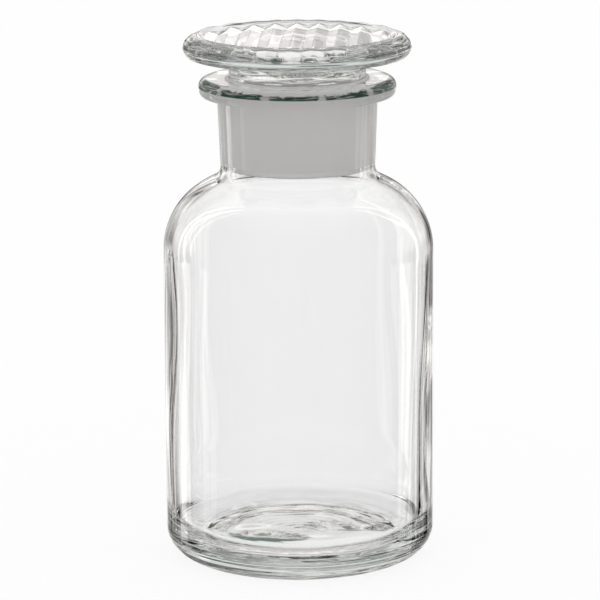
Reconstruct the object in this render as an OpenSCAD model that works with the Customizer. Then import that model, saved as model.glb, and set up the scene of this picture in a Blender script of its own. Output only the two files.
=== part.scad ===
// Wide-mouth reagent bottle in clear glass, with a hollow ground-in glass stopper.
// Millimetres, +Z up. The origin is the centre of the ring that the bottle stands on.

/* [Bottle body] */
// Outer diameter of the body
body_d = 86.5; // [76:0.5:110]
// Height from the standing ring to the mouth
bottle_h = 155.4; // [120:0.2:240]
// Thickness of the body and shoulder wall
wall_t = 3; // [2:0.1:4]
// Glass thickness in the middle of the base
base_t = 6; // [4:0.2:12]
// Radius of the rounded heel outside
heel_r = 9.4; // [6:0.2:12]
// Radius of the rounded heel inside
inner_heel_r = 8; // [4:0.2:12]
// Width of the flat ring that the bottle stands on
ring_w = 2.4; // [1.5:0.1:4]
// Height of the hollow under the base
punt_h = 2; // [1:0.1:3]
// Diameter of the flat middle of the hollow under the base
punt_d = 44; // [30:1:50]
// Slope of the shoulder, in degrees
shoulder_slope = 27.2; // [20:0.2:34]
// Length of the straight slope between the shoulder's curve and the neck's curve
shoulder_flat = 3.4; // [1:0.2:8]

/* [Neck and flange] */
// Height between the end of the ground socket and the neck's outer foot
neck_clear_h = 3.8; // [3.2:0.1:12]
// Radius of the outer curve between neck and shoulder
neck_foot_r = 4.3; // [2:0.1:5]
// Wall of the neck at the end of the ground socket
neck_foot_t = 3.4; // [2.5:0.1:4.5]
// Wall of the neck at the mouth
neck_top_t = 3; // [2.2:0.1:4.5]
// Width by which the flange stands out from the neck
flange_w = 5.9; // [4:0.1:9]
// Thickness of the flange
flange_t = 5.9; // [4.5:0.1:8]
// Radius of the flange's lower edge
flange_lower_r = 1.8; // [0.5:0.1:1.9]
// Radius of the flange's upper edge
flange_upper_r = 2.4; // [0.5:0.1:2.5]

/* [Ground joint] */
// Large diameter of the ground socket, at the mouth
joint_d = 45; // [40:0.1:50]
// Length of the ground socket
joint_l = 27; // [22:0.5:36]
// Length in which the joint's diameter falls by 1 mm
joint_taper = 10; // [8:0.5:20]
// Radial gap between plug and socket
joint_gap = 0.05; // [0.02:0.01:0.09]
// Radius of the small edges at the ends of the joint
joint_edge_r = 0.6; // [0.2:0.1:0.9]
// Length by which the plug reaches past the end of the ground socket
plug_reach = 1.8; // [0.8:0.1:3]
// Wall of the hollow plug at its end
plug_wall_t = 3; // [2:0.1:4]

/* [Stopper head] */
// Width by which the head overhangs the flange
head_overhang = 4.7; // [1:0.1:8]
// Thickness of the head
head_t = 7.4; // [6.6:0.1:10]
// Gap between the mouth and the head's underside
head_gap = 6.7; // [5.5:0.1:12]
// Radius of the head's upper edge
head_upper_r = 4.3; // [3:0.1:5.2]
// Height of the upright band between the head's upper and lower edges
head_band_h = 0.2; // [0.1:0.1:1]
// Width by which the stopper narrows between the mouth and the head
waist_inset = 3.1; // [1.5:0.1:4]
// Radius of the curve between waist and head
waist_r = 2; // [1:0.1:2.5]
// Height of the plug's hollow above the head's underside
hollow_rise = 1.4; // [0.4:0.1:1.8]
// Diameter of the flat top of the plug's hollow
hollow_top_d = 12.6; // [8:0.2:18]
// Height above the mouth at which the plug's hollow starts to close
hollow_bend_h = 1.5; // [0:0.1:2]
// Radius of the curve where the plug's hollow starts to close
hollow_bend_r = 5; // [3:0.5:6]

/* [Grip pattern] */
// Width of the plain rim around the recess in the head's top
rim_w = 4.2; // [4:0.1:8]
// Width of the recess's sloping side
recess_side_w = 1.4; // [0.5:0.1:3]
// Depth of the recess down to the tops of the ribs
recess_depth = 1; // [0.6:0.1:2]
// Distance from one rib to the next
rib_pitch = 7; // [5:0.1:12]
// Height of the ribs above the grooves between them
rib_h = 0.9; // [0.4:0.1:1.4]
// Distance from the bottle's axis to the middle rib
rib_shift = -1.2; // [-3.5:0.1:3.5]
// Turn of the ribs about the bottle's axis, in degrees
rib_turn = -2.5; // [-45:0.5:45]

/* [Hidden] */

$fn = 96;
arc_steps = 10;
overlap = 1;
glass_colour = [0.86, 0.9, 0.9, 0.45];

// Radius of the ground socket at a height
function joint_r_at(z) = joint_d / 2 - (bottle_h - z) / (2 * joint_taper);

joint_end_z = bottle_h - joint_l;
joint_end_r = joint_r_at(joint_end_z);
neck_foot_z = joint_end_z - neck_clear_h;
neck_foot_outer_r = joint_end_r + neck_foot_t;
neck_top_outer_r = joint_d / 2 + neck_top_t;
neck_inner_foot_r = neck_foot_r + wall_t;
flange_z = bottle_h - flange_t;
flange_r = neck_top_outer_r + flange_w;
flange_root_r = 0.6;

body_r = body_d / 2;
inner_r = body_r - wall_t;
shoulder_tangent = (body_r - neck_foot_outer_r) / cos(shoulder_slope)
    - shoulder_flat - tangent_length(neck_foot_r);
shoulder_r = shoulder_tangent / tangent_length(1);
ring_outer_r = body_r - heel_r;
ring_inner_r = ring_outer_r - ring_w;
ring_edge_r = 1.5;
punt_blend_r = 20;
floor_z = punt_h + base_t;

head_z = bottle_h + head_gap;
head_top_z = head_z + head_t;
head_r = flange_r + head_overhang;
head_lower_r = head_t - head_upper_r - head_band_h;
plug_end_z = joint_end_z - plug_reach;
plug_end_r = joint_r_at(plug_end_z) - joint_gap;
plug_mouth_r = joint_r_at(bottle_h) - joint_gap;
plug_shoulder_r = 1.5;
waist_outer_r = plug_mouth_r - waist_inset;
hollow_r = plug_end_r - plug_wall_t;
hollow_top_z = head_z + hollow_rise;
hollow_top_edge_r = 2;
hollow_bend_z = bottle_h + hollow_bend_h;

recess_r = head_r - rim_w;
rib_top_z = head_top_z - recess_depth;
rib_root_z = rib_top_z - rib_h;

// Distance from a shoulder corner to where its rounding of radius r starts
function tangent_length(r) = r * tan((90 - shoulder_slope) / 2);

// Height of the shoulder's outer slope at a radius
function slope_z(r) = neck_foot_z - (r - neck_foot_outer_r) * tan(shoulder_slope);

// Height of the shoulder's inner slope, one wall under the outer slope
function inner_slope_z(r) = slope_z(r) - wall_t / cos(shoulder_slope);

function unit(v) = v / norm(v);

function turned(v, angle) = [
    v.x * cos(angle) - v.y * sin(angle),
    v.x * sin(angle) + v.y * cos(angle)
];

// Points of the arc of radius r that rounds the corner at p between a and b
function corner_arc(a, p, b, r) = let (
    to_a = unit(a - p),
    to_b = unit(b - p),
    half_angle = acos(to_a * to_b) / 2,
    centre = p + unit(to_a + to_b) * r / sin(half_angle),
    start = p + to_a * r / tan(half_angle) - centre,
    sweep = (180 - 2 * half_angle) * sign(cross(to_b, to_a))
) [for (i = [0:arc_steps]) centre + turned(start, sweep * i / arc_steps)];

// Outline through corners given as [radius, height, rounding]
function rounded(corners) = let (
    points = [for (c = corners) [c[0], c[1]]]
) [
    for (i = [0:len(corners) - 1]) each
        corners[i][2] > 0
            ? corner_arc(points[i - 1], points[i], points[i + 1], corners[i][2])
            : [points[i]]
];

// The bottle's outside, from the middle of the base up to the mouth
bottle_outside = [
    [0, punt_h, 0],
    [punt_d / 2, punt_h, punt_blend_r],
    [ring_inner_r, 0, ring_edge_r],
    [body_r, 0, heel_r],
    [body_r, slope_z(body_r), shoulder_r],
    [neck_foot_outer_r, neck_foot_z, neck_foot_r],
    [neck_top_outer_r, flange_z, flange_root_r],
    [flange_r, flange_z, flange_lower_r],
    [flange_r, bottle_h, flange_upper_r]
];

// The bottle's inside, from the mouth down to the middle of the floor
bottle_inside = [
    [joint_d / 2, bottle_h, joint_edge_r],
    [joint_end_r, joint_end_z, 0],
    [joint_end_r, inner_slope_z(joint_end_r), neck_inner_foot_r],
    [inner_r, inner_slope_z(inner_r), shoulder_r - wall_t],
    [inner_r, floor_z, inner_heel_r],
    [0, floor_z, 0]
];

// The plug's hollow, from its top down
stopper_hollow = [
    [0, hollow_top_z, 0],
    [hollow_top_d / 2, hollow_top_z, hollow_top_edge_r],
    [hollow_r, hollow_bend_z, hollow_bend_r]
];

// The stopper's outside, from the plug's end up to the middle of the head's top
stopper_outside = [
    [hollow_r, plug_end_z, joint_edge_r],
    [plug_end_r, plug_end_z, joint_edge_r],
    [plug_mouth_r, bottle_h, plug_shoulder_r],
    [waist_outer_r, head_z, waist_r],
    [head_r, head_z, head_lower_r],
    [head_r, head_top_z, head_upper_r],
    [0, head_top_z, 0]
];

module bottle() {
    color(glass_colour)
        rotate_extrude()
            polygon(rounded(concat(bottle_outside, bottle_inside)));
}

// Section of the air above the ribs, with a zigzag lower edge
module air_above_ribs() {
    top_z = head_top_z + overlap;
    rib_count = ceil(recess_r / rib_pitch) + 1;
    zigzag = [
        for (i = [-rib_count:rib_count]) each [
            [i * rib_pitch, rib_top_z],
            [(i + 0.5) * rib_pitch, rib_root_z]
        ]
    ];
    translate([rib_shift, 0])
        polygon(concat(
            [[-rib_count * rib_pitch, top_z]],
            zigzag,
            [[(rib_count + 0.5) * rib_pitch, top_z]]
        ));
}

// Ribbed recess that is cut into the head's top
module grip_recess() {
    side_h = head_top_z - rib_root_z;
    flare = recess_side_w * overlap / side_h;
    intersection() {
        translate([0, 0, rib_root_z])
            cylinder(h = side_h + overlap, r1 = recess_r - recess_side_w, r2 = recess_r + flare);
        rotate([90, 0, rib_turn])
            linear_extrude(2 * head_r, center = true)
                air_above_ribs();
    }
}

module stopper() {
    color(glass_colour)
        difference() {
            rotate_extrude()
                polygon(rounded(concat(stopper_hollow, stopper_outside)));
            grip_recess();
        }
}

bottle();
stopper();
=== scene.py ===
"""Reagent bottle of clear pressed glass with a hollow ground stopper, in a small white studio."""

import logging
import math
import random
from dataclasses import dataclass, field
from enum import Enum

import bpy
import numpy as np
from mathutils import Matrix, Vector


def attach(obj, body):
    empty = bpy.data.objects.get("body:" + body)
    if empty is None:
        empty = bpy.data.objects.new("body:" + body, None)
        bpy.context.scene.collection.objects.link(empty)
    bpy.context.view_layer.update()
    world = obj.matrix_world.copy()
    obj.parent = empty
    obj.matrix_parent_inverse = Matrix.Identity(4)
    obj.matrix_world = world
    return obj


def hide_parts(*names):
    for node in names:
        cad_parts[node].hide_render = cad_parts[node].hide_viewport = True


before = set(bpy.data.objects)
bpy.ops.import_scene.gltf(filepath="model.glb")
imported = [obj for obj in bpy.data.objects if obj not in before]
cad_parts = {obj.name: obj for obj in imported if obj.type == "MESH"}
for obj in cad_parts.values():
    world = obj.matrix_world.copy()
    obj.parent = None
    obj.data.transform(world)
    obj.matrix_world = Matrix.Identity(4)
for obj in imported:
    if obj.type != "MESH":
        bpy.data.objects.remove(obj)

MM = 0.001
SURFACE_MARK = "surface"
LOG = logging.getLogger("reagent_bottle")
Socket = bpy.types.NodeSocket


class Surface(Enum):
    """How a stretch of glass is finished, or marked for painted shade; the value is the number that the mesh
    carries.
    """

    POLISHED = 0.0
    SATIN = 0.5
    GROUND = 1.0
    # Marks thick glass whose colour gets painted shade: dark tones that stand in for what refraction shows
    # there.
    PAINTED_SHADE = 2.0


# ---------------------------------------------------------------- shader helpers


@dataclass
class ShaderTree:
    """A node tree with short ways to add the nodes that the finishes and the surround share."""

    tree: bpy.types.NodeTree

    def add(self, kind: str) -> bpy.types.Node:
        """Add a node of one kind."""
        return self.tree.nodes.new(kind)

    def feed(self, socket: Socket, value: Socket | float) -> None:
        """Link a socket to a value, or set it where the value is a number.

        Args:
            socket: The socket that gets the value.
            value: Socket to link, or number to set.
        """
        if isinstance(value, bpy.types.NodeSocket):
            self.tree.links.new(value, socket)
        else:
            socket.default_value = value

    def math(
        self, operation: str, first: Socket | float, second: Socket | float = 0.0, third: Socket | float = 0.0
    ) -> Socket:
        """Add a math node.

        Args:
            operation: Name of the operation.
            first: First value or socket.
            second: Second value or socket.
            third: Third value or socket.

        Returns:
            The node's result.
        """
        node = self.add("ShaderNodeMath")
        node.operation = operation
        for socket, value in zip(node.inputs, (first, second, third)):
            self.feed(socket, value)
        return node.outputs[0]

    def times(self, first: Socket, *others: Socket | float) -> Socket:
        """Multiply values.

        Args:
            first: First factor.
            others: The other factors.

        Returns:
            The product.
        """
        for other in others:
            first = self.math("MULTIPLY", first, other)
        return first

    def step(
        self, value: Socket, start: float, end: float, low: float = 0.0, high: float = 1.0
    ) -> Socket:
        """Add a smooth step.

        Args:
            value: Socket that drives it.
            start: Value at which the result is low.
            end: Value at which the result is high.
            low: Result at the start.
            high: Result at the end.

        Returns:
            The node's result.
        """
        node = self.add("ShaderNodeMapRange")
        node.interpolation_type = "SMOOTHSTEP"
        self.feed(node.inputs["Value"], value)
        turned = start > end
        node.inputs["From Min"].default_value = end if turned else start
        node.inputs["From Max"].default_value = start if turned else end
        node.inputs["To Min"].default_value = high if turned else low
        node.inputs["To Max"].default_value = low if turned else high
        return node.outputs["Result"]

    def noise(self, place: Socket, detail: float) -> Socket:
        """Add a noise of one cell per unit.

        Args:
            place: Vector at which the noise is read.
            detail: Number of finer layers.

        Returns:
            The noise, between 0 and 1.
        """
        node = self.add("ShaderNodeTexNoise")
        node.inputs["Scale"].default_value = 1.0
        node.inputs["Detail"].default_value = detail
        self.feed(node.inputs["Vector"], place)
        return node.outputs["Fac"]

    def flat_noise(self, across: Socket, up: Socket, detail: float) -> Socket:
        """Add a noise that is read at two values.

        Args:
            across: First value.
            up: Second value.
            detail: Number of finer layers.

        Returns:
            The noise, between 0 and 1.
        """
        place = self.add("ShaderNodeCombineXYZ")
        self.feed(place.inputs["X"], across)
        self.feed(place.inputs["Y"], up)
        return self.noise(place.outputs["Vector"], detail)

    def mirrored(self) -> Socket:
        """Tell light that clear glass has mirrored from light that comes straight, through it or scattered.

        Returns:
            1 for mirrored light and 0 for all other light.
        """
        path = self.add("ShaderNodeLightPath")
        clear = self.math("LESS_THAN", path.outputs["Diffuse Depth"], 0.5)
        return self.times(self.math("GREATER_THAN", path.outputs["Glossy Depth"], 0.5), clear)


@dataclass
class GlassPlace:
    """Where a point of the glass lies, in metres, with its distance and bearing from the bottle's axis."""

    shade: ShaderTree
    place: Socket = field(init=False)
    x: Socket = field(init=False)
    y: Socket = field(init=False)
    z: Socket = field(init=False)
    radius: Socket = field(init=False)
    around: Socket = field(init=False)
    ring_noise: Socket = field(init=False)

    def __post_init__(self) -> None:
        """Add the nodes, and the noise that follows the base's rings."""
        shade = self.shade
        self.place = shade.add("ShaderNodeTexCoord").outputs["Object"]
        split = shade.add("ShaderNodeSeparateXYZ")
        shade.feed(split.inputs[0], self.place)
        self.x, self.y, self.z = split.outputs[:3]
        squares = shade.math("ADD", shade.times(self.x, self.x), shade.times(self.y, self.y))
        self.radius = shade.math("SQRT", squares)
        self.around = shade.math("ARCTAN2", self.x, shade.times(self.y, -1.0))
        ring_place = (shade.times(self.around, 3.0), shade.times(self.radius, 320.0))
        self.ring_noise = shade.flat_noise(*ring_place, 4.0)

    def noise(self, scale: tuple[float, float, float], detail: float) -> Socket:
        """Make a stretched noise.

        Args:
            scale: Cells per metre along the three axes.
            detail: Number of finer layers.

        Returns:
            The noise, between 0 and 1.
        """
        stretch = self.shade.add("ShaderNodeMapping")
        stretch.inputs["Scale"].default_value = scale
        self.shade.feed(stretch.inputs["Vector"], self.place)
        return self.shade.noise(stretch.outputs["Vector"], detail)


# ---------------------------------------------------------------- painted shade in thick glass


class PaintedShade:
    """A stretch of thick glass with painted shade: dark tone in its colour that stands in for what refraction
    shows there.
    """

    def add(self, at: GlassPlace) -> Socket:
        """Add the nodes of the tone and give its strength."""
        raise NotImplementedError


@dataclass(frozen=True)
class BeadPaintedShade(PaintedShade):
    """The ragged band of painted shade in the flange's bead, broken by evenly spaced gaps, in metres and
    radians.
    """

    lowest: float = 0.15235
    full_height: float = 0.1526
    highest: float = 0.1584
    front_drop: float = 0.003
    fray: float = 0.0026
    gaps: float = 11.0
    first_gap: float = math.radians(18.8)
    gap_fray: float = 0.5
    gap_strength: float = 0.35
    streak_strength: float = 0.55

    def add(self, at: GlassPlace) -> Socket:
        """Add the nodes of the band.

        Args:
            at: Place on the glass.

        Returns:
            The band's strength.
        """
        shade = at.shade
        rough = at.noise((380.0, 380.0, 1400.0), 4.0)
        streaks = at.noise((170.0, 170.0, 3200.0), 3.0)
        top = shade.math("MULTIPLY_ADD", shade.math("COSINE", at.around), -self.front_drop, self.highest)
        room = shade.math("SUBTRACT", top, shade.math("MULTIPLY_ADD", rough, self.fray, at.z))
        turned = shade.math("MULTIPLY_ADD", at.around, self.gaps, self.gaps * self.first_gap)
        frayed = shade.math("MULTIPLY_ADD", rough, self.gap_fray, -self.gap_fray / 2)
        swing = shade.math("ADD", shade.math("COSINE", turned), frayed)
        return shade.times(
            shade.step(at.z, self.lowest, self.full_height),
            shade.step(room, -0.0001, 0.0003),
            shade.step(swing, 1.0, 0.85, self.gap_strength, 1.0),
            shade.step(streaks, 0.72, 0.5, self.streak_strength, 1.0),
        )


@dataclass(frozen=True)
class FoldPaintedShade(PaintedShade):
    """The patch of painted shade at a fold of the base: its middle, half sizes and upper end, in metres."""

    x: float = -0.0105
    y: float = -0.0125
    half_x: float = 0.0125
    half_y: float = 0.0095
    full_height: float = 0.01
    highest: float = 0.02
    fray: float = 2.4

    def add(self, at: GlassPlace) -> Socket:
        """Add the nodes of the patch.

        Args:
            at: Place on the glass.

        Returns:
            The patch's strength.
        """
        shade = at.shade
        off_x = shade.math("DIVIDE", shade.math("SUBTRACT", at.x, self.x), self.half_x)
        off_y = shade.math("DIVIDE", shade.math("SUBTRACT", at.y, self.y), self.half_y)
        off = shade.math("ADD", shade.times(off_x, off_x), shade.times(off_y, off_y))
        smooth = shade.math("SUBTRACT", off, self.fray / 2)
        ragged = shade.math("MULTIPLY_ADD", at.ring_noise, self.fray, smooth)
        return shade.times(shade.step(at.z, self.highest, self.full_height), shade.step(ragged, 1.5, 0.7))


@dataclass(frozen=True)
class HeelPaintedShade(PaintedShade):
    """The light, streaky painted shade of the thick heel, in metres."""

    full_height: float = 0.006
    highest: float = 0.009
    inner_radius: float = 0.0345
    full_radius: float = 0.036
    least: float = 0.08
    swing: float = 0.35

    def add(self, at: GlassPlace) -> Socket:
        """Add the nodes of the heel's tone.

        Args:
            at: Place on the glass.

        Returns:
            The tone's strength.
        """
        shade = at.shade
        return shade.times(
            shade.step(at.z, self.highest, self.full_height),
            shade.step(at.radius, self.inner_radius, self.full_radius),
            shade.math("MULTIPLY_ADD", at.ring_noise, self.swing, self.least),
        )


@dataclass(frozen=True)
class HeadPaintedShade(PaintedShade):
    """The level lines of painted shade in the thick edge of the stopper's head, in metres."""

    lowest: float = 0.1618
    lower_full: float = 0.1621
    upper_full: float = 0.1664
    highest: float = 0.1674
    least: float = 0.1
    most: float = 0.4

    def add(self, at: GlassPlace) -> Socket:
        """Add the nodes of the head's tone.

        Args:
            at: Place on the glass.

        Returns:
            The tone's strength.
        """
        shade = at.shade
        return shade.times(
            shade.step(at.z, self.lowest, self.lower_full),
            shade.step(at.z, self.highest, self.upper_full),
            shade.step(at.noise((12.0, 12.0, 2600.0), 2.0), 0.35, 0.65, self.least, self.most),
        )


@dataclass(frozen=True)
class HollowPaintedShade(PaintedShade):
    """The dark ring of painted shade around the top of the plug's hollow, in metres."""

    lowest: float = 0.1595
    full_height: float = 0.16
    full_radius: float = 0.008
    outer_radius: float = 0.009
    least: float = 0.4

    def add(self, at: GlassPlace) -> Socket:
        """Add the nodes of the ring.

        Args:
            at: Place on the glass.

        Returns:
            The ring's strength.
        """
        shade = at.shade
        return shade.times(
            shade.step(at.z, self.lowest, self.full_height),
            shade.step(at.radius, self.outer_radius, self.full_radius),
            shade.step(at.ring_noise, 0.6, 0.4, self.least, 1.0),
        )


# ---------------------------------------------------------------- finish


@dataclass(frozen=True)
class PressedGlass:
    """Soda-lime glass, polished by the fire, matt where it is ground, with painted shade in its colour where
    it is thick.
    """

    name: str = "pressed_glass"
    ior: float = 1.52
    tint: tuple[float, float, float] = (0.2, 0.6, 0.42)
    tint_density: float = 1.6
    ground_tone: tuple[float, float, float] = (0.99, 0.965, 0.955)
    ground_clearness: float = 0.2
    ground_roughness: float = 0.5
    marks_scale: tuple[float, float, float] = (60.0, 60.0, 2600.0)
    marks_roughness: float = 0.12
    marks_depth: float = 0.05 * MM
    marks_strength: float = 0.5
    # Near-black green painted into the glass's colour where it is thick: painted shade.
    painted_shade_colour: tuple[float, float, float] = (0.002, 0.014, 0.008)
    painted_shades: tuple[PaintedShade, ...] = (BeadPaintedShade(), FoldPaintedShade(), HeelPaintedShade(), HeadPaintedShade(), HollowPaintedShade())

    def material(self) -> bpy.types.Material:
        """Make the material.

        Returns:
            A refracting material that turns matt where the mesh is marked as ground, with painted shade where
            it is marked for that.
        """
        mat = bpy.data.materials.new(self.name)
        mat.use_nodes = True
        shade = ShaderTree(mat.node_tree)
        output = mat.node_tree.nodes["Material Output"]
        clear = mat.node_tree.nodes["Principled BSDF"]
        clear.inputs["IOR"].default_value = self.ior
        clear.inputs["Transmission Weight"].default_value = 1.0
        at = GlassPlace(shade)
        mark = shade.add("ShaderNodeAttribute")
        mark.attribute_name = SURFACE_MARK
        past_ground = shade.math("SUBTRACT", mark.outputs["Fac"], Surface.GROUND.value)
        off_ground = shade.math("ABSOLUTE", past_ground)
        ground = shade.math("MAXIMUM", shade.math("SUBTRACT", 1.0, off_ground), 0.0)
        self._grind(at, clear, ground)
        # Painted shade: the stretches marked for it get dark tone painted into the glass's colour.
        self._paint_shade(at, clear, shade.math("MAXIMUM", past_ground, 0.0))
        matt = shade.add("ShaderNodeBsdfDiffuse")
        matt.inputs["Color"].default_value = (*self.ground_tone, 1.0)
        skin = shade.add("ShaderNodeMixShader")
        shade.feed(skin.inputs["Fac"], shade.times(ground, 1.0 - self.ground_clearness))
        shade.feed(skin.inputs[1], clear.outputs["BSDF"])
        shade.feed(skin.inputs[2], matt.outputs["BSDF"])
        shade.feed(output.inputs["Surface"], skin.outputs["Shader"])
        volume = shade.add("ShaderNodeVolumeAbsorption")
        volume.inputs["Color"].default_value = (*self.tint, 1.0)
        volume.inputs["Density"].default_value = self.tint_density
        shade.feed(output.inputs["Volume"], volume.outputs["Volume"])
        return mat

    def _grind(self, at: GlassPlace, clear: bpy.types.Node, ground: Socket) -> None:
        """Roughen the ground stretches and give them the fine level marks of grinding.

        Args:
            at: Place on the glass.
            clear: Shader of the clear glass.
            ground: 1 where the glass is ground.
        """
        shade = at.shade
        marks = at.noise(self.marks_scale, 2.0)
        rough = shade.math("MULTIPLY_ADD", marks, self.marks_roughness, self.ground_roughness)
        shade.feed(clear.inputs["Roughness"], shade.times(ground, rough))
        bump = shade.add("ShaderNodeBump")
        bump.inputs["Distance"].default_value = self.marks_depth
        shade.feed(bump.inputs["Strength"], shade.times(ground, self.marks_strength))
        shade.feed(bump.inputs["Height"], marks)
        shade.feed(clear.inputs["Normal"], bump.outputs["Normal"])

    def _paint_shade(self, at: GlassPlace, clear: bpy.types.Node, painted_shade_mask: Socket) -> None:
        """Darken the glass's colour with painted shade, where the mesh allows it.

        Args:
            at: Place on the glass.
            clear: Shader of the clear glass.
            painted_shade_mask: 1 where the mesh is marked for painted shade.
        """
        shade = at.shade
        total = self.painted_shades[0].add(at)
        for tone in self.painted_shades[1:]:
            total = shade.math("ADD", total, tone.add(at))
        colour = shade.add("ShaderNodeMix")
        colour.data_type = "RGBA"
        colour.inputs["A"].default_value = (1.0, 1.0, 1.0, 1.0)
        colour.inputs["B"].default_value = (*self.painted_shade_colour, 1.0)
        shade.feed(colour.inputs["Factor"], shade.times(painted_shade_mask, total))
        shade.feed(clear.inputs["Base Color"], colour.outputs["Result"])


# ---------------------------------------------------------------- outlines


def fade(value: np.ndarray, start: float, end: float) -> np.ndarray:
    """Rise evenly from 0 where the value is at the start to 1 where it is at the end."""
    return np.clip((value - start) / (end - start), 0.0, 1.0)


@dataclass(frozen=True)
class Corner:
    """A corner of a turned outline, in millimetres; surface and step hold up to the next corner."""

    radius: float
    height: float
    rounding: float = 0.0
    surface: Surface = Surface.POLISHED
    step: float = 1.4
    chord: float = 1.6

    @property
    def point(self) -> Vector:
        """The corner as a vector of radius and height."""
        return Vector((self.radius, self.height))


@dataclass(frozen=True)
class Ring:
    """One ring of a turned piece of glass, in millimetres."""

    radius: float
    height: float
    surface: Surface


@dataclass(frozen=True)
class Outline:
    """A chain of corners that is turned about the axis, and the widest step of its arcs."""

    corners: tuple[Corner, ...]
    arc_step: float = math.radians(6.0)

    def rings(self) -> list[Ring]:
        """Work out the rings, with every rounded corner as an arc.

        Returns:
            The rings from the outline's start to its end.
        """
        chain: list[Ring] = []
        step = 0.0
        last = len(self.corners) - 1
        for i, corner in enumerate(self.corners):
            points = [corner.point]
            if corner.rounding > 0 and 0 < i < last:
                points = self._arc(self.corners[i - 1].point, corner, self.corners[i + 1].point)
            for number, point in enumerate(points):
                if chain and number == 0:
                    chain.extend(self._between(chain[-1], point, step))
                chain.append(Ring(point.x, point.y, corner.surface))
            step = corner.step
        return chain

    def _arc(self, before: Vector, corner: Corner, after: Vector) -> list[Vector]:
        """Round one corner.

        Args:
            before: Corner before this one.
            corner: The corner to round.
            after: Corner after this one.

        Returns:
            Points of the arc.
        """
        to_a = (before - corner.point).normalized()
        to_b = (after - corner.point).normalized()
        half = math.acos(max(-1.0, min(1.0, to_a.dot(to_b)))) / 2
        centre = corner.point + (to_a + to_b).normalized() * corner.rounding / math.sin(half)
        start = corner.point + to_a * corner.rounding / math.tan(half) - centre
        turn = math.pi - 2 * half
        sign = 1.0 if to_b.x * to_a.y - to_b.y * to_a.x > 0 else -1.0
        count = max(4, math.ceil(turn / self.arc_step), math.ceil(corner.rounding * turn / corner.chord))
        return [centre + Matrix.Rotation(sign * turn * i / count, 2) @ start for i in range(count + 1)]

    def _between(self, last: Ring, point: Vector, step: float) -> list[Ring]:
        """Fill a straight stretch with evenly spaced rings.

        Args:
            last: Ring at which the stretch starts.
            point: Point at which it ends.
            step: Widest spacing.

        Returns:
            The rings strictly between the two.
        """
        start = Vector((last.radius, last.height))
        count = int((point - start).length / step)
        spots = [start.lerp(point, (k + 1) / (count + 1)) for k in range(count)]
        return [Ring(spot.x, spot.y, last.surface) for spot in spots]


# ---------------------------------------------------------------- meshes


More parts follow.
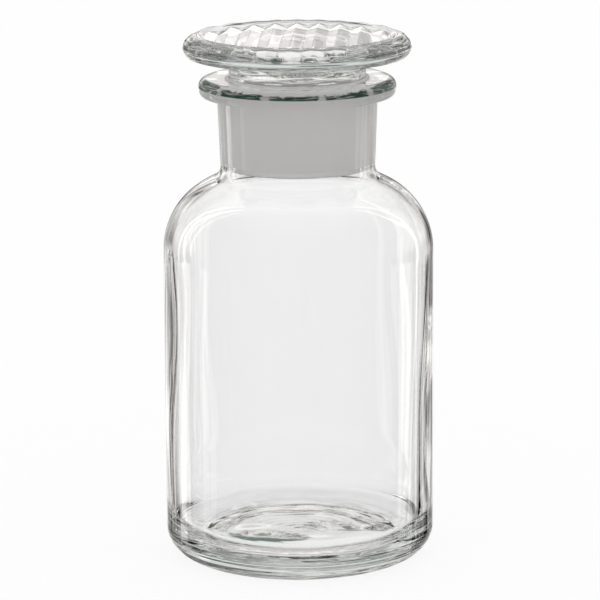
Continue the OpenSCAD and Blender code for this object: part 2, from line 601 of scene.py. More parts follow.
@dataclass
class GlassMesh:
    """Vertices, faces and finish of one piece of glass, gathered ring by ring, in millimetres."""

    name: str
    points: list[tuple[float, float, float]] = field(default_factory=list)
    faces: list[tuple[int, ...]] = field(default_factory=list)
    finishes: list[float] = field(default_factory=list)

    def spot(self, x: float, y: float, z: float) -> int:
        """Add one vertex and return its number."""
        self.points.append((x, y, z))
        return len(self.points) - 1

    def face(self, corners: tuple[int, ...], surface: Surface) -> None:
        """Add one face."""
        self.faces.append(corners)
        self.finishes.append(surface.value)

    def turn(self, rings: list[Ring], sides: int, push: np.ndarray) -> list[int]:
        """Turn rings about the axis.

        Args:
            rings: The rings; one of radius zero becomes a single vertex.
            sides: Number of segments around the axis.
            push: Offset along the outward normal for each ring and segment.

        Returns:
            The vertices of the last ring.
        """
        line = np.array([(ring.radius, ring.height) for ring in rings])
        along = np.gradient(line, axis=0)
        along /= np.maximum(np.linalg.norm(along, axis=1, keepdims=True), 1e-9)
        angle = np.arange(sides) * 2 * math.pi / sides
        before: list[int] = []
        for k, ring in enumerate(rings):
            radius = ring.radius + along[k, 1] * push[k]
            height = ring.height - along[k, 0] * push[k]
            if ring.radius == 0:
                now = [self.spot(0.0, 0.0, float(height.mean()))]
            else:
                now = [
                    self.spot(float(r * math.cos(a)), float(r * math.sin(a)), float(z))
                    for r, a, z in zip(radius, angle, height)
                ]
            if before:
                self.band(before, now, rings[k - 1].surface)
            before = now
        return before

    def band(self, before: list[int], now: list[int], surface: Surface) -> None:
        """Join two rings of as many vertices, or a ring and a single vertex.

        Args:
            before: Vertices of the first ring.
            now: Vertices of the next ring.
            surface: Finish of the new faces.
        """
        sides = max(len(before), len(now))
        for i in range(sides):
            j = (i + 1) % sides
            if len(before) == 1:
                self.face((before[0], now[j], now[i]), surface)
            elif len(now) == 1:
                self.face((before[i], before[j], now[0]), surface)
            else:
                self.face((before[i], before[j], now[j], now[i]), surface)

    def bearing(self, vertex: int) -> float:
        """Angle of a vertex about the axis."""
        return math.atan2(self.points[vertex][1], self.points[vertex][0])

    def bearings(self, loop: list[int]) -> list[float]:
        """Angles of a loop's vertices, counted on from the first through one full turn."""
        turned = [self.bearing(vertex) for vertex in loop]
        return [turned[0] + (a - turned[0]) % (2 * math.pi) for a in turned] + [turned[0] + 2 * math.pi]

    def stitch(self, outer: list[int], inner: list[int], surface: Surface) -> None:
        """Join two loops of different counts with triangles; both run anticlockwise seen from above.

        Args:
            outer: Vertices of the wide loop.
            inner: Vertices of the narrow loop.
            surface: Finish of the new faces.
        """
        first = min(range(len(inner)), key=lambda k: abs(self.bearing(inner[k])))
        inner = inner[first:] + inner[:first]
        outer_at, inner_at = self.bearings(outer), self.bearings(inner)
        i = j = 0
        while i < len(outer) or j < len(inner):
            a, b = outer[i % len(outer)], inner[j % len(inner)]
            if j == len(inner) or (i < len(outer) and outer_at[i + 1] <= inner_at[j + 1]):
                i += 1
                self.face((a, outer[i % len(outer)], b), surface)
            else:
                j += 1
                self.face((a, inner[j % len(inner)], b), surface)

    def build(self, finish: bpy.types.Material) -> bpy.types.Object:
        """Make the object.

        Args:
            finish: Material of the whole piece.

        Returns:
            The new object, linked to the scene.
        """
        mesh = bpy.data.meshes.new(self.name)
        mesh.from_pydata([(x * MM, y * MM, z * MM) for x, y, z in self.points], [], self.faces)
        mask = mesh.attributes.new(SURFACE_MARK, "FLOAT", "FACE")
        mask.data.foreach_set("value", self.finishes)
        mesh.shade_smooth()
        mesh.update()
        mesh.materials.append(finish)
        piece = bpy.data.objects.new(self.name, mesh)
        bpy.context.scene.collection.objects.link(piece)
        return piece


# ---------------------------------------------------------------- unevenness


def grid(rings: list[Ring], sides: int) -> tuple[np.ndarray, np.ndarray, np.ndarray]:
    """Lay out a turned piece's vertices, one row for each ring.

    Args:
        rings: The rings.
        sides: Number of segments around the axis.

    Returns:
        The segments' angles, and the radius and the height of each vertex in millimetres.
    """
    angle = np.arange(sides) * 2 * math.pi / sides
    radius = np.array([ring.radius for ring in rings])[:, None] + 0 * angle
    height = np.array([ring.height for ring in rings])[:, None] + 0 * angle
    return angle, radius, height


def first_ground(rings: list[Ring]) -> int:
    """Number of the first ring of the ground stretch."""
    return next(i for i, ring in enumerate(rings) if ring.surface is Surface.GROUND)


@dataclass(frozen=True)
class WallWaves:
    """Seeded unevenness of a blown wall, from waves that run around it and up it, in millimetres."""

    seed: int
    depth: float
    fewest: int
    most: int
    shortest: float
    longest: float
    waves: int = 12

    def at(self, angle: np.ndarray, height: np.ndarray) -> np.ndarray:
        """Evaluate the waves.

        Args:
            angle: Angles about the axis.
            height: Heights in millimetres.

        Returns:
            Offsets along the wall's normal.
        """
        draw = random.Random(self.seed)
        total = np.zeros(np.broadcast(angle, height).shape)
        for _ in range(self.waves):
            around = draw.randint(self.fewest, self.most)
            length = draw.uniform(self.shortest, self.longest) * draw.choice((-1, 1))
            phase = 2 * math.pi * height / length + draw.uniform(0, 2 * math.pi)
            total = total + np.sin(around * angle + phase)
        return total * self.depth / math.sqrt(self.waves / 2)


@dataclass(frozen=True)
class Dent:
    """A shallow round dent: its middle, its size and how far it goes in, in millimetres."""

    x: float
    y: float
    size: float
    depth: float


@dataclass(frozen=True)
class FloorRipples:
    """Rings, lumps and dents that the blow mould leaves in a bottle's base, in millimetres."""

    seed: int
    ring_depth: float
    ring_spacing: float
    lump_depth: float
    lump_size: float
    lumps: int = 16
    dents: tuple[Dent, ...] = ()
    turn: float = 6.28

    def at(self, radius: np.ndarray, angle: np.ndarray) -> np.ndarray:
        """Evaluate the ripples.

        Args:
            radius: Distances from the axis in millimetres.
            angle: Angles about the axis.

        Returns:
            Offsets along the floor's normal.
        """
        draw = random.Random(self.seed)
        turn = self.turn
        wander = sum(draw.uniform(0.3, 0.8) * np.sin(k * angle + draw.uniform(0, turn)) for k in (1, 2, 3))
        strength = 0.6 + 0.4 * np.sin(angle + draw.uniform(0, turn))
        total = self.ring_depth * strength * np.sin(2 * math.pi * radius / self.ring_spacing + wander)
        x, y = radius * np.cos(angle), radius * np.sin(angle)
        depth = self.lump_depth / math.sqrt(self.lumps / 2)
        for _ in range(self.lumps):
            way, length = draw.uniform(0, turn), self.lump_size * draw.uniform(0.6, 1.6)
            along = x * math.cos(way) + y * math.sin(way)
            total = total + depth * np.sin(turn * along / length + draw.uniform(0, turn))
        for dent in self.dents:
            away = ((x - dent.x) ** 2 + (y - dent.y) ** 2) / dent.size**2
            total = total - dent.depth * np.exp(-away)
        return total


# ---------------------------------------------------------------- bottle


@dataclass
class Joint:
    """The ground cone that stopper and bottle share, in millimetres."""

    mouth_diameter: float = 45.0
    length: float = 27.0
    taper: float = 10.0
    gap: float = 0.05
    mouth_height: float = 155.4

    @property
    def end_height(self) -> float:
        """Height at which the ground socket ends."""
        return self.mouth_height - self.length

    def radius(self, height: float) -> float:
        """Radius of the ground socket at a height."""
        return self.mouth_diameter / 2 - (self.mouth_height - height) / (2 * self.taper)


@dataclass
class Bottle:
    """The bottle: heel, body, shoulder, neck, flange and ground socket in one piece of glass."""

    joint: Joint
    body_radius: float = 43.25
    wall: float = 3.0
    base: float = 6.0
    heel: float = 9.4
    inner_heel: float = 8.0
    ring_width: float = 2.4
    punt: float = 2.0
    punt_radius: float = 22.0
    punt_blend: float = 20.0
    ring_edge: float = 1.5
    slope: float = math.radians(27.2)
    slope_length: float = 3.4
    neck_clear: float = 3.8
    neck_foot: float = 4.3
    neck_foot_wall: float = 3.4
    neck_top_wall: float = 3.0
    flange_width: float = 5.9
    flange_thickness: float = 5.9
    flange_root: float = 0.6
    flange_lower: float = 1.8
    joint_edge: float = 0.6
    bead: float = 2.6
    seam_height: float = 3.1
    ledge: float = 0.25
    sides: int = 240
    wall_waves: WallWaves = WallWaves(seed=11, depth=0.1, fewest=3, most=9, shortest=60.0, longest=170.0)
    outside_waves: WallWaves = WallWaves(seed=4, depth=0.02, fewest=2, most=7, shortest=50.0, longest=160.0)
    heel_waves: WallWaves = WallWaves(seed=31, depth=0.028, fewest=0, most=3, shortest=0.8, longest=2.2)
    floor_top: float = 11.0
    inside_floor: FloorRipples = FloorRipples(
        seed=7, ring_depth=0.025, ring_spacing=2.2, lump_depth=0.2, lump_size=24.0
    )
    under_floor: FloorRipples = FloorRipples(
        seed=9,
        ring_depth=0.03,
        ring_spacing=3.0,
        lump_depth=0.06,
        lump_size=16.0,
        dents=(
            Dent(x=-11.0, y=-13.0, size=6.5, depth=1.3),
            Dent(x=-3.0, y=-16.0, size=4.0, depth=0.6),
            Dent(x=21.0, y=-5.0, size=5.0, depth=1.0),
        ),
    )

    @property
    def ring_radius(self) -> float:
        """Inner radius of the ring that the bottle stands on."""
        return self.body_radius - self.heel - self.ring_width

    def build(self, finish: bpy.types.Material) -> bpy.types.Object:
        """Make the bottle's mesh and dress it.

        Args:
            finish: The glass.

        Returns:
            The bottle.
        """
        rings = self.outline().rings()
        shape = GlassMesh("bottle_glass")
        shape.turn(rings, self.sides, self.unevenness(rings))
        piece = shape.build(finish)
        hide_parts("bottle")
        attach(piece, "bottle")
        return piece

    def outline(self) -> Outline:
        """Lay out the bottle's section.

        Returns:
            The outline from the middle of the base, up the outside and down the inside.
        """
        joint = self.joint
        end_r = joint.radius(joint.end_height)
        foot_r = end_r + self.neck_foot_wall
        foot_z = joint.end_height - self.neck_clear
        top_r = joint.mouth_diameter / 2 + self.neck_top_wall
        flange_z = joint.mouth_height - self.flange_thickness
        flange_r = top_r + self.flange_width
        inner_r = self.body_radius - self.wall
        half_turn = math.tan((math.pi / 2 - self.slope) / 2)
        run = (self.body_radius - foot_r) / math.cos(self.slope)
        shoulder = (run - self.slope_length - self.neck_foot * half_turn) / half_turn
        drop = self.wall / math.cos(self.slope)
        floor = self.punt + self.base

        def slope_z(radius: float) -> float:
            """Height of the shoulder's outer slope at a radius."""
            return foot_z - (radius - foot_r) * math.tan(self.slope)

        return Outline((
            # Stretches with the painted-shade mark take painted shade in the glass's colour: the base, the
            # heel and body, and the flange's bead.
            Corner(0.0, self.punt, surface=Surface.PAINTED_SHADE, step=0.8),
            Corner(self.punt_radius, self.punt, self.punt_blend, Surface.PAINTED_SHADE, step=0.6, chord=0.6),
            Corner(self.ring_radius, 0.0, self.ring_edge),
            Corner(self.body_radius, 0.0, self.heel, Surface.PAINTED_SHADE, step=2.8, chord=0.24),
            Corner(self.body_radius, slope_z(self.body_radius), shoulder),
            Corner(foot_r, foot_z, self.neck_foot),
            Corner(top_r, flange_z, self.flange_root),
            Corner(flange_r, flange_z, self.flange_lower, step=0.2),
            Corner(flange_r, joint.mouth_height, self.bead, Surface.PAINTED_SHADE),
            Corner(joint.mouth_diameter / 2, joint.mouth_height, self.joint_edge, Surface.GROUND),
            Corner(end_r, joint.end_height),
            Corner(end_r, slope_z(end_r) - drop, self.neck_foot + self.wall),
            Corner(inner_r, slope_z(inner_r) - drop, shoulder - self.wall, step=2.8),
            Corner(inner_r, floor, self.inner_heel, step=0.8, chord=0.5),
            Corner(0.0, floor),
        ))

    def unevenness(self, rings: list[Ring]) -> np.ndarray:
        """Work out how far the glass departs from its turned shape.

        Args:
            rings: The outline's rings.

        Returns:
            Offsets along the outward normal for each ring and segment, in millimetres.
        """
        angle, radius, height = grid(rings, self.sides)
        inside = (np.arange(len(rings)) > first_ground(rings))[:, None]
        below_neck = fade(height, self.joint.end_height - 3.0, self.joint.end_height - 11.0)
        floor_share = fade(height, self.floor_top, self.floor_top - 2.5)
        centre_fade = fade(radius, 0.0, 3.0)
        inner = self.wall_waves.at(angle, height) * (1 - floor_share)
        inner = inner + self.inside_floor.at(radius, angle) * floor_share * centre_fade
        within_ring = fade(radius, self.ring_radius - 1.5, self.ring_radius - 3.5)
        outer = self.outside_waves.at(angle, height) * fade(height, 0.0, 12.0)
        outer = outer + self.under_floor.at(radius, angle) * within_ring * centre_fade
        heel = fade(radius, self.ring_radius + 3.0, self.ring_radius + 5.0)
        heel = heel * fade(height, self.floor_top, self.floor_top - 3.0)
        outer = outer + self.heel_waves.at(angle, height - 0.5 * radius) * heel
        seam_z = self.joint.mouth_height - self.seam_height
        on_flange = (radius > self.joint.mouth_diameter * 0.6) & (height > seam_z - self.flange_thickness)
        ledge = self.ledge * fade(height, seam_z, seam_z - 0.15) * on_flange
        return np.where(inside, inner * below_neck, outer * below_neck - ledge)


# ---------------------------------------------------------------- stopper


@dataclass
class RibbedRecess:
    """The round recess in the stopper's head, with straight ribs across its floor, in millimetres."""

    rim_radius: float
    rim_height: float
    side_width: float = 2.0
    depth: float = 0.7
    pitch: float = 7.0
    rib_height: float = 0.9
    shift: float = -1.2
    turn: float = math.radians(-2.5)
    softness: float = 0.16
    end_room: float = 0.15
    steps_along: int = 40

    def side_radius(self, height: float) -> float:
        """Radius of the sloping side at a height."""
        return self.rim_radius - (self.rim_height - height) * self.side_width / (self.depth + self.rib_height)

    def floor_height(self, across: float) -> float:
        """Height of the ribbed floor.

        Args:
            across: Distance from the middle, square to the ribs.

        Returns:
            The height, with ribs and grooves slightly rounded.
        """
        share = 1 - abs(((across - self.shift) / self.pitch) % 1.0 - 0.5) * 2
        soft = self.softness
        if share < soft:
            share = (share**2 + soft**2) / (2 * soft)
        elif share > 1 - soft:
            share = 1 - ((1 - share) ** 2 + soft**2) / (2 * soft)
        return self.rim_height - self.depth - share * self.rib_height

    def groove_share(self, x: np.ndarray, y: np.ndarray) -> np.ndarray:
        """Depth of the grooves at places in plan, from 0 on a rib to 1 in a groove."""
        across = x * math.cos(self.turn) + y * math.sin(self.turn)
        return 1 - np.abs(((across - self.shift) / self.pitch) % 1.0 - 0.5) * 2

    def cuts(self) -> list[float]:
        """Places across the ribs at which the floor is cut into strips.

        Returns:
            The places, closer together at each rib and groove.
        """
        near_rib = [self.softness * k / 3 for k in range(4)]
        near_groove = [1 - share for share in near_rib[:0:-1]]
        shares = [*near_rib, 0.35, 0.5, 0.65, *near_groove]
        half = self.pitch / 2
        count = math.ceil(self.rim_radius / half) + 1
        places = sorted((k + share) * half + self.shift for k in range(-count, count) for share in shares)
        return [u for u in places if self.side_radius(self.floor_height(u)) > abs(u) + self.end_room]

    def build(self, shape: GlassMesh, rim: list[int]) -> None:
        """Add the floor and join it to the recess's side.

        Args:
            shape: Mesh that gets the floor.
            rim: The last ring of the recess's side, anticlockwise.
        """
        cos, sin = math.cos(self.turn), math.sin(self.turn)

        def spot(across: float, along: float, height: float) -> int:
            """Add a vertex of the floor."""
            return shape.spot(across * cos - along * sin, across * sin + along * cos, height)

        strips: list[list[int]] = []
        shares = [-math.cos(math.pi * k / self.steps_along) for k in range(self.steps_along + 1)]
        for u in self.cuts():
            height = self.floor_height(u)
            reach = math.sqrt(self.side_radius(height) ** 2 - u**2)
            strips.append([spot(u, share * reach, height) for share in shares])
        tips = []
        for sign in (-1, 1):
            height = self.rim_height - self.depth - self.rib_height / 2
            tips.append(spot(sign * self.side_radius(height), 0.0, height))
        for a, b in zip(strips, strips[1:]):
            for j in range(self.steps_along):
                shape.face((a[j], b[j], b[j + 1], a[j + 1]), Surface.POLISHED)
        for j in range(self.steps_along):
            shape.face((tips[0], strips[0][j], strips[0][j + 1]), Surface.POLISHED)
            shape.face((strips[-1][j], tips[1], strips[-1][j + 1]), Surface.POLISHED)
        far = [strip[-1] for strip in reversed(strips)]
        near = [strip[0] for strip in strips]
        shape.stitch(rim, [tips[1], *far, tips[0], *near], Surface.POLISHED)


@dataclass
class Stopper:
    """The stopper: a ground hollow plug under a flat round head with a ribbed recess."""

    joint: Joint
    head_radius: float = 36.1
    head_thickness: float = 7.4
    head_gap: float = 6.7
    head_upper: float = 4.3
    head_band: float = 0.2
    waist_inset: float = 3.1
    waist_curve: float = 4.4
    plug_reach: float = 1.8
    plug_wall: float = 3.0
    plug_edge: float = 0.6
    plug_shoulder: float = 1.5
    hollow_rise: float = 1.4
    hollow_top: float = 6.3
    hollow_edge: float = 0.7
    dome_step: float = 1.8
    dome_width: float = 0.5
    hollow_bend: float = 1.5
    hollow_curve: float = 5.0
    rim: float = 5.14
    rim_curve: float = 2.4
    recess_lead: float = 0.12
    seam_proud: float = 0.14
    seam_width: float = 0.25
    second_seam: float = 1.9
    second_seam_step: float = 0.1
    rib_relief: float = 0.42
    sides: int = 288
    waist_waves: WallWaves = WallWaves(seed=2, depth=0.07, fewest=1, most=9, shortest=1.3, longest=3.4)
    head_waves: WallWaves = WallWaves(seed=6, depth=0.005, fewest=0, most=2, shortest=0.9, longest=3.2)
    edge_waves: WallWaves = WallWaves(seed=21, depth=0.014, fewest=0, most=3, shortest=0.6, longest=1.5)
    hollow_waves: WallWaves = WallWaves(seed=13, depth=0.1, fewest=2, most=6, shortest=14.0, longest=40.0)

    def build(self, finish: bpy.types.Material) -> bpy.types.Object:
        """Make the stopper's mesh and dress it.

        Args:
            finish: The glass.

        Returns:
            The stopper.
        """
        rings = self.outline().rings()
        shape = GlassMesh("stopper_glass")
        rim = shape.turn(rings, self.sides, self.unevenness(rings))
        self.recess().build(shape, rim)
        piece = shape.build(finish)
        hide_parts("stopper")
        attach(piece, "stopper")
        return piece

    def recess(self) -> RibbedRecess:
        """The recess that fits this head."""
        top_z = self.joint.mouth_height + self.head_gap + self.head_thickness
        return RibbedRecess(rim_radius=self.head_radius - self.rim, rim_height=top_z)

    def outline(self) -> Outline:
        """Lay out the stopper's section, up to the recess's sloping side.

        Returns:
            The outline from the top of the hollow, down it, up the outside and into the recess.
        """
        joint = self.joint
        recess = self.recess()
        end_z = joint.end_height - self.plug_reach
        end_r = joint.radius(end_z) - joint.gap
        mouth_r = joint.mouth_diameter / 2 - joint.gap
        head_z = joint.mouth_height + self.head_gap
        top_z = head_z + self.head_thickness
        hollow_r = end_r - self.plug_wall
        lower = self.head_thickness - self.head_upper - self.head_band
        hollow_z = head_z + self.hollow_rise
        side_z = top_z - recess.depth + self.recess_lead
        return Outline((
            Corner(0.0, hollow_z),
            # Stretches with the painted-shade mark take painted shade in the glass's colour: the top of the
            # hollow and the head's edge.
            Corner(self.hollow_top, hollow_z, self.hollow_edge, Surface.PAINTED_SHADE),
            Corner(self.hollow_top + self.dome_width, hollow_z - self.dome_step, self.dome_width),
            Corner(hollow_r, joint.mouth_height + self.hollow_bend, self.hollow_curve),
            Corner(hollow_r, end_z, self.plug_edge),
            Corner(end_r, end_z, self.plug_edge, Surface.GROUND),
            Corner(mouth_r, joint.mouth_height, self.plug_shoulder, Surface.SATIN, step=0.3),
            Corner(mouth_r - self.waist_inset, head_z, self.waist_curve),
            Corner(self.head_radius, head_z, lower, Surface.PAINTED_SHADE, step=0.05),
            Corner(self.head_radius, top_z, self.head_upper, Surface.PAINTED_SHADE),
            Corner(recess.rim_radius, top_z, self.rim_curve),
            Corner(recess.side_radius(side_z), side_z),
        ), arc_step=math.radians(3.0))

    def unevenness(self, rings: list[Ring]) -> np.ndarray:
        """Work out how far the glass departs from its turned shape.

        Args:
            rings: The outline's rings.

        Returns:
            Offsets along the outward normal for each ring and segment, in millimetres.
        """
        joint, recess = self.joint, self.recess()
        angle, radius, height = grid(rings, self.sides)
        outside = (np.arange(len(rings)) >= first_ground(rings))[:, None]
        head_z = joint.mouth_height + self.head_gap
        seam_z = head_z + self.head_thickness - self.head_upper - self.head_band / 2
        second_z = seam_z + self.second_seam
        waist = fade(height, joint.mouth_height + 0.4, joint.mouth_height + 1.2)
        waist = waist * fade(height, head_z, head_z - 0.8)
        out = self.waist_waves.at(angle, height) * waist * (radius < joint.mouth_diameter / 2 + 1.0)
        head = fade(radius, self.head_radius - 11.0, self.head_radius - 7.0) * (height > head_z - 1.0)
        out = out + self.head_waves.at(angle, height + 0.7 * radius) * head
        on_edge = radius > self.head_radius - 2.0
        out = out + self.seam_proud * np.exp(-(((height - seam_z) / self.seam_width) ** 2)) * on_edge
        lower = fade(height, seam_z, seam_z - 0.5)
        lower = lower * fade(radius, self.head_radius - 4.0, self.head_radius - 2.0)
        out = out + self.edge_waves.at(angle, height) * lower * (height > head_z - 0.5)
        upper = fade(height, second_z, second_z + 0.12) * (radius > recess.rim_radius)
        grooves = recess.groove_share(radius * np.cos(angle), radius * np.sin(angle))
        out = out - upper * (self.second_seam_step + self.rib_relief * grooves)
        hollow = fade(height, joint.end_height + 1.0, joint.end_height + 6.0) * fade(radius, 0.0, 6.0)
        return np.where(outside, out, self.hollow_waves.at(angle, height) * hollow)


# ---------------------------------------------------------------- studio


@dataclass(frozen=True)
class SoftPanel:
    """An upright panel of the studio, in degrees; bearing 0 is straight behind the bottle.

    Bearings to the left are negative. A positive radiance brightens what the glass mirrors from there, and a
    negative one darkens it.
    """

    bearing: float
    half_width: float
    lowest: float
    highest: float
    radiance: float
    softness: float = 2.0

    def add(self, shade: ShaderTree, bearing: Socket, elevation: Socket) -> Socket:
        """Add the nodes that give this panel's light.

        Args:
            shade: Node tree of the surround.
            bearing: Bearing of a direction, in degrees.
            elevation: Its elevation, in degrees.

        Returns:
            A socket with the radiance that the panel adds.
        """
        off = shade.math("SUBTRACT", bearing, self.bearing)
        off = shade.math("ABSOLUTE", shade.math("WRAP", off, 180.0, -180.0))
        soft = self.softness
        return shade.times(
            shade.step(off, self.half_width + soft, self.half_width - soft),
            shade.step(elevation, self.highest + soft, self.highest - soft),
            shade.step(elevation, self.lowest - soft, self.lowest + soft),
            self.radiance,
        )


# Bearing, half width, lowest, highest, radiance and softness of each panel.
PANELS_BEHIND = (
    SoftPanel(-6.0, 22.0, -25.0, -10.5, 0.35, 1.0),
    SoftPanel(0.0, 13.0, -6.5, 3.5, -0.55, 1.0),
    SoftPanel(-28.0, 8.0, -8.0, 3.5, -0.45, 1.5),
    SoftPanel(25.0, 5.0, -8.0, 3.5, -0.35, 1.5),
    SoftPanel(32.0, 18.0, -25.0, -8.0, 0.1),
)
PANELS_ABOVE = (
    SoftPanel(0.0, 14.0, 8.7, 9.8, 0.8, 0.15),
    SoftPanel(-14.0, 13.5, 4.8, 7.8, 0.35, 0.4),
    SoftPanel(14.0, 13.5, 4.8, 7.8, -0.2, 0.4),
    SoftPanel(0.0, 32.0, 12.0, 24.0, -0.4),
    SoftPanel(-32.0, 24.0, 9.0, 40.0, -0.1, 6.0),
    SoftPanel(30.0, 18.0, 3.0, 30.0, -0.3, 6.0),
)
PANELS_LEFT = (
    SoftPanel(-33.0, 2.5, -60.0, -11.5, -0.25),
    SoftPanel(-48.0, 2.5, -60.0, -11.5, -0.2),
    SoftPanel(-92.4, 3.6, -60.0, -10.3, 0.8, 0.7),
    SoftPanel(-60.0, 6.0, -60.0, -10.3, 1.7, 0.7),
    SoftPanel(-58.0, 1.6, -10.6, 60.0, 2.2, 0.8),
    SoftPanel(-68.0, 1.2, -4.0, 60.0, 1.8, 0.8),
)
PANELS_RIGHT = (
    SoftPanel(40.0, 4.0, -60.0, -11.5, -0.6),
    SoftPanel(60.6, 1.6, -60.0, -10.3, 1.2, 0.4),
    SoftPanel(60.0, 1.4, -10.6, 60.0, 2.2, 0.8),
    SoftPanel(70.5, 3.4, -60.0, -10.3, 0.9, 0.5),
    SoftPanel(82.0, 3.6, -60.0, -10.3, 0.9, 0.5),
)


@dataclass(frozen=True)
class Streaks:
    """Upright streaks of clutter around the studio's white screens, in degrees and shares of the tone."""

    per_bearing: float = 0.25
    per_elevation: float = 0.45
    darker: float = -0.8
    brighter: float = 0.5
    highest: float = -9.8
    full_height: float = -10.8

    def add(self, shade: ShaderTree, bearing: Socket, elevation: Socket) -> Socket:
        """Add the nodes of the streaks.

        Args:
            shade: Node tree of the surround.
            bearing: Bearing of a direction, in degrees.
            elevation: Its elevation, in degrees.

        Returns:
            A factor around 1 for the tone.
        """
        across = shade.times(bearing, self.per_bearing)
        noise = shade.flat_noise(across, shade.times(elevation, self.per_elevation), 3.0)
        streak = shade.step(noise, 0.42, 0.58, self.darker, self.brighter)
        return shade.math("MULTIPLY_ADD", streak, shade.step(elevation, self.highest, self.full_height), 1.0)


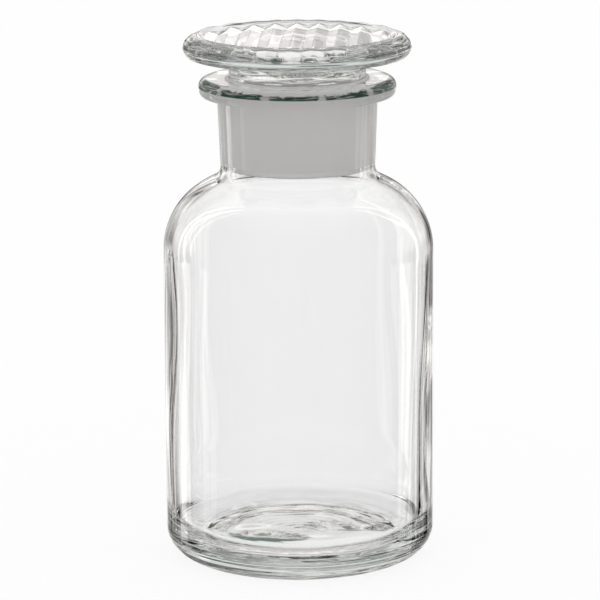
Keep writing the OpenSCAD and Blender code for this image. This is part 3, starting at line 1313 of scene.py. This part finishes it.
@dataclass
class Studio:
    """Pale floor, a studio of soft panels around the bottle, and the camera, in metres."""

    camera_distance: float = 1.109
    camera_height: float = 0.331
    target_height: float = 0.083
    target_side: float = 0.00044
    roll: float = math.radians(0.35)
    lens: float = 212.1
    sensor: float = 36.0
    far_clip: float = 20.0
    floor_half: float = 3.0
    floor_tone: float = 0.92
    shadow_share: float = 0.12
    front_tone: float = 0.1
    back_tone: float = 0.55
    upper_tone: float = 0.42
    top_tone: float = 0.35
    nadir_tone: float = 0.55
    warmth: tuple[float, float, float] = (1.0, 0.97, 0.95)
    streaks: Streaks = Streaks()
    panels: tuple[SoftPanel, ...] = (*PANELS_BEHIND, *PANELS_ABOVE, *PANELS_LEFT, *PANELS_RIGHT)

    def build(self) -> None:
        """Place the floor, the surround and the camera."""
        self._floor()
        self._surround()
        self._camera()

    def _floor(self) -> None:
        """Lay the floor plane."""
        half = self.floor_half
        corners = [(-half, -half, 0), (half, -half, 0), (half, half, 0), (-half, half, 0)]
        mesh = bpy.data.meshes.new("floor")
        mesh.from_pydata(corners, [], [(0, 1, 2, 3)])
        mesh.materials.append(self._floor_material())
        floor = bpy.data.objects.new("floor", mesh)
        bpy.context.scene.collection.objects.link(floor)

    def _floor_material(self) -> bpy.types.Material:
        """Make the floor's material.

        Returns:
            A material that is white to the eye, keeps a share of shadow, and is absent from mirrored light.
        """
        mat = bpy.data.materials.new("pale_floor")
        mat.use_nodes = True
        shade = ShaderTree(mat.node_tree)
        paper = mat.node_tree.nodes["Principled BSDF"]
        paper.inputs["Base Color"].default_value = (self.floor_tone, self.floor_tone, self.floor_tone, 1.0)
        paper.inputs["Roughness"].default_value = 1.0
        paper.inputs["Specular IOR Level"].default_value = 0.0
        glow = shade.add("ShaderNodeEmission")
        seen = shade.add("ShaderNodeMixShader")
        seen.inputs["Fac"].default_value = 1.0 - self.shadow_share
        shade.feed(seen.inputs[1], paper.outputs["BSDF"])
        shade.feed(seen.inputs[2], glow.outputs["Emission"])
        absent = shade.add("ShaderNodeBsdfTransparent")
        pick = shade.add("ShaderNodeMixShader")
        shade.feed(pick.inputs["Fac"], shade.mirrored())
        shade.feed(pick.inputs[1], seen.outputs["Shader"])
        shade.feed(pick.inputs[2], absent.outputs["BSDF"])
        shade.feed(mat.node_tree.nodes["Material Output"].inputs["Surface"], pick.outputs["Shader"])
        return mat

    def _surround(self) -> None:
        """Set the world: white to the eye and through the glass, a dim studio in what the glass mirrors."""
        world = bpy.data.worlds.new("surround")
        bpy.context.scene.world = world
        world.use_nodes = True
        shade = ShaderTree(world.node_tree)
        tone = self._studio_tone(shade)
        warm = shade.add("ShaderNodeCombineColor")
        for socket, share in zip(warm.inputs, self.warmth):
            shade.feed(socket, shade.times(tone, share))
        mix = shade.add("ShaderNodeMix")
        mix.data_type = "RGBA"
        mix.inputs["A"].default_value = (1.0, 1.0, 1.0, 1.0)
        shade.feed(mix.inputs["B"], warm.outputs[0])
        shade.feed(mix.inputs["Factor"], shade.mirrored())
        shade.feed(world.node_tree.nodes["Background"].inputs["Color"], mix.outputs["Result"])

    def _studio_tone(self, shade: ShaderTree) -> Socket:
        """Add up the studio that the glass mirrors.

        Args:
            shade: Node tree of the surround.

        Returns:
            The radiance in each direction.
        """
        place = shade.add("ShaderNodeTexCoord")
        split = shade.add("ShaderNodeSeparateXYZ")
        shade.feed(split.inputs[0], place.outputs["Generated"])
        x, y, z = split.outputs[:3]
        bearing = shade.math("DEGREES", shade.math("ARCTAN2", x, y))
        elevation = shade.math("DEGREES", shade.math("ARCSINE", z))
        tone = shade.step(y, 0.1, 0.85, self.front_tone, self.back_tone)
        tone = shade.times(tone, self.streaks.add(shade, bearing, elevation))
        above = shade.step(elevation, -6.0, 3.0)
        upper = shade.times(above, shade.step(y, -0.2, 0.5, 0.0, self.upper_tone))
        top = shade.step(elevation, 35.0, 75.0, 0.0, self.top_tone)
        nadir = shade.step(elevation, -25.0, -60.0, 0.0, self.nadir_tone)
        for share in (upper, top, nadir, *(panel.add(shade, bearing, elevation) for panel in self.panels)):
            tone = shade.math("ADD", tone, share)
        return tone

    def _camera(self) -> None:
        """Place the camera and make it the scene's."""
        data = bpy.data.cameras.new("camera")
        data.sensor_width = self.sensor
        data.lens = self.lens
        data.clip_end = self.far_clip
        camera = bpy.data.objects.new("camera", data)
        camera.location = (self.target_side, -self.camera_distance, self.camera_height)
        aim = Vector((self.target_side, 0.0, self.target_height)) - camera.location
        turn = aim.to_track_quat("-Z", "Y").to_matrix() @ Matrix.Rotation(-self.roll, 3, "Z")
        camera.rotation_euler = turn.to_euler()
        bpy.context.scene.collection.objects.link(camera)
        bpy.context.scene.camera = camera


def light_paths() -> None:
    """Let light pass through all the layers of glass, and show colours as they are."""
    scene = bpy.context.scene
    scene.view_settings.view_transform = "Standard"
    scene.cycles.max_bounces = 28
    scene.cycles.transmission_bounces = 28
    scene.cycles.glossy_bounces = 12
    scene.cycles.transparent_max_bounces = 16


def main() -> None:
    """Build the bottle, its stopper and the studio, and note the sizes."""
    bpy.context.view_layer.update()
    finish = PressedGlass().material()
    joint = Joint()
    for piece in (Bottle(joint).build(finish), Stopper(joint).build(finish)):
        LOG.info("%s: %d faces", piece.name, len(piece.data.polygons))
    Studio().build()
    light_paths()


if __name__ == "__main__":
    logging.basicConfig(level=logging.INFO)
    main()
